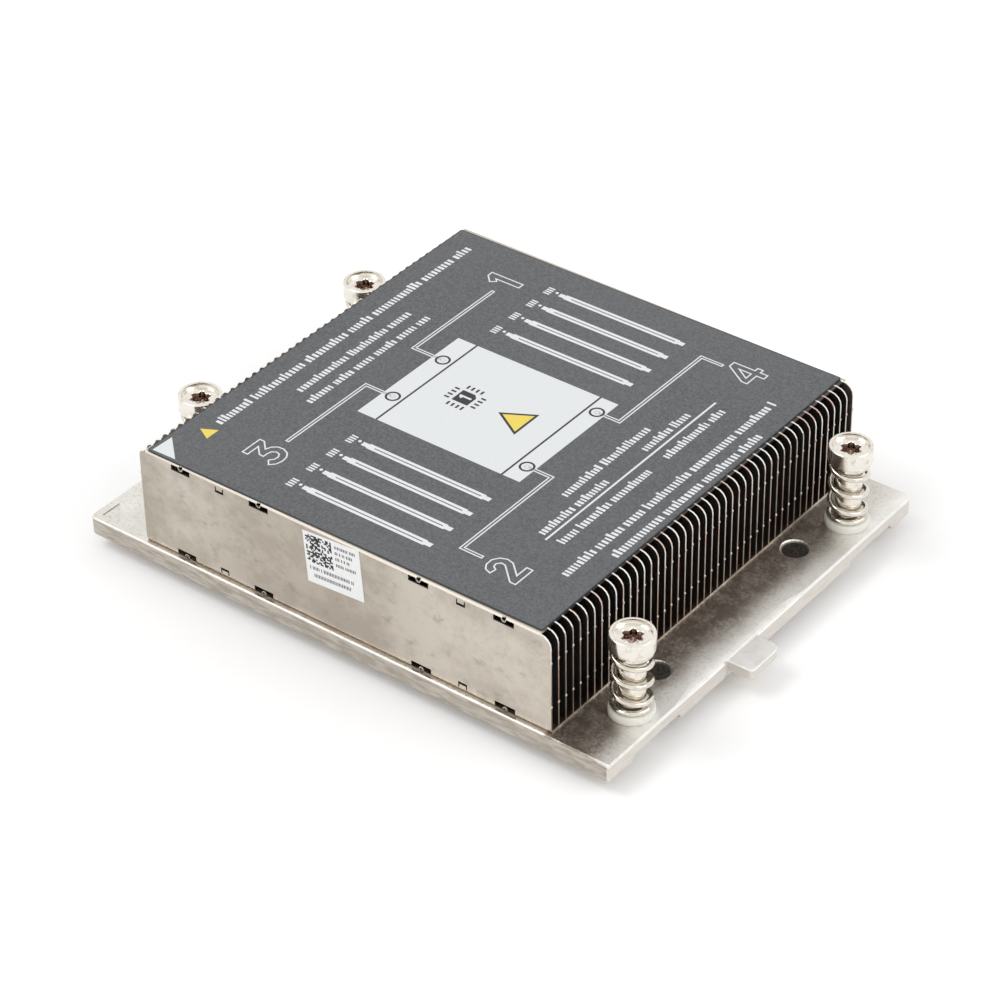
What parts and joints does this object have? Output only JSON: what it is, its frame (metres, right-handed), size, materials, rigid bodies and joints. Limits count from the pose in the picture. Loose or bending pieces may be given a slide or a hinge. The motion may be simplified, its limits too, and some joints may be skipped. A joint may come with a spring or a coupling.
{
  "type": "passive server heat sink",
  "caption": "Low passive heat sink for a server processor: nickel-plated base plate, folded fins along the airflow and spring-loaded captive screws at the corners.",
  "frame": {"origin": "centre of the contact face, on the underside of the base plate", "axes": "+Z out of the fins' tops, +X along the airflow, towards the end with the tab, +Y across the fins"},
  "size_m": [0.1209, 0.0934, 0.0267],
  "materials": {
    "base_nickel": "grainy satin nickel plating on copper",
    "fin_nickel": "satin nickel plating on copper sheet",
    "screw_nickel": "bright nickel plating",
    "spring_wire": "bright drawn wire",
    "collar_plastic": "milky, slightly translucent",
    "label_film": "matte slate grey print with white lines",
    "label_paper": "matte white with small black marks"
  },
  "bodies": {
    "sink": {"base_plate": "base_nickel", "outer_fin_1": "fin_nickel", "fin_01": "fin_nickel", "fin_02": "fin_nickel", "fin_03": "fin_nickel", "fin_04": "fin_nickel", "fin_05": "fin_nickel", "fin_06": "fin_nickel", "fin_07": "fin_nickel", "fin_08": "fin_nickel", "fin_09": "fin_nickel", "fin_10": "fin_nickel", "fin_11": "fin_nickel", "fin_12": "fin_nickel", "fin_13": "fin_nickel", "fin_14": "fin_nickel", "fin_15": "fin_nickel", "fin_16": "fin_nickel", "fin_17": "fin_nickel", "fin_18": "fin_nickel", "fin_19": "fin_nickel", "fin_20": "fin_nickel", "fin_21": "fin_nickel", "fin_22": "fin_nickel", "fin_23": "fin_nickel", "fin_24": "fin_nickel", "fin_25": "fin_nickel", "fin_26": "fin_nickel", "fin_27": "fin_nickel", "fin_28": "fin_nickel", "fin_29": "fin_nickel", "fin_30": "fin_nickel", "fin_31": "fin_nickel", "fin_32": "fin_nickel", "fin_33": "fin_nickel", "fin_34": "fin_nickel", "fin_35": "fin_nickel", "fin_36": "fin_nickel", "fin_37": "fin_nickel", "fin_38": "fin_nickel", "fin_39": "fin_nickel", "fin_40": "fin_nickel", "fin_41": "fin_nickel", "fin_42": "fin_nickel", "fin_43": "fin_nickel", "fin_44": "fin_nickel", "outer_fin_2": "fin_nickel", "top_label": "label_film", "side_label": "label_paper", "screw_collars": "collar_plastic"},
    "spring_1": {"screw_spring_1": "spring_wire"},
    "screw_1": {"captive_screw_1": "screw_nickel"},
    "spring_2": {"screw_spring_2": "spring_wire"},
    "screw_2": {"captive_screw_2": "screw_nickel"},
    "spring_3": {"screw_spring_3": "spring_wire"},
    "screw_3": {"captive_screw_3": "screw_nickel"},
    "spring_4": {"screw_spring_4": "spring_wire"},
    "screw_4": {"captive_screw_4": "screw_nickel"}
  },
  "joints": [
    {"name": "screw_turn_1", "type": "hinge", "parent": "sink", "child": "spring_1", "pos_m": [-0.0505, 0.0234, 0.0052], "axis": [0, 0, 1], "continuous": true},
    {"name": "screw_press_1", "type": "slide", "parent": "spring_1", "child": "screw_1", "axis": [0, 0, -1], "range_m": [0, 0.0039], "stiffness_N_per_m": 400, "springref_m": -0.003, "deforming": ["screw_spring_1"]},
    {"name": "screw_turn_2", "type": "hinge", "parent": "sink", "child": "spring_2", "pos_m": [0.0527, -0.033, 0.0052], "axis": [0, 0, 1], "continuous": true},
    {"name": "screw_press_2", "type": "slide", "parent": "spring_2", "child": "screw_2", "axis": [0, 0, -1], "range_m": [0, 0.0039], "stiffness_N_per_m": 400, "springref_m": -0.003, "deforming": ["screw_spring_2"]},
    {"name": "screw_turn_3", "type": "hinge", "parent": "sink", "child": "spring_3", "pos_m": [-0.0505, -0.0234, 0.0052], "axis": [0, 0, 1], "continuous": true},
    {"name": "screw_press_3", "type": "slide", "parent": "spring_3", "child": "screw_3", "axis": [0, 0, -1], "range_m": [0, 0.0039], "stiffness_N_per_m": 400, "springref_m": -0.003, "deforming": ["screw_spring_3"]},
    {"name": "screw_turn_4", "type": "hinge", "parent": "sink", "child": "spring_4", "pos_m": [0.0527, 0.033, 0.0052], "axis": [0, 0, 1], "continuous": true},
    {"name": "screw_press_4", "type": "slide", "parent": "spring_4", "child": "screw_4", "axis": [0, 0, -1], "range_m": [0, 0.0039], "stiffness_N_per_m": 400, "springref_m": -0.003, "deforming": ["screw_spring_4"]}
  ]
}
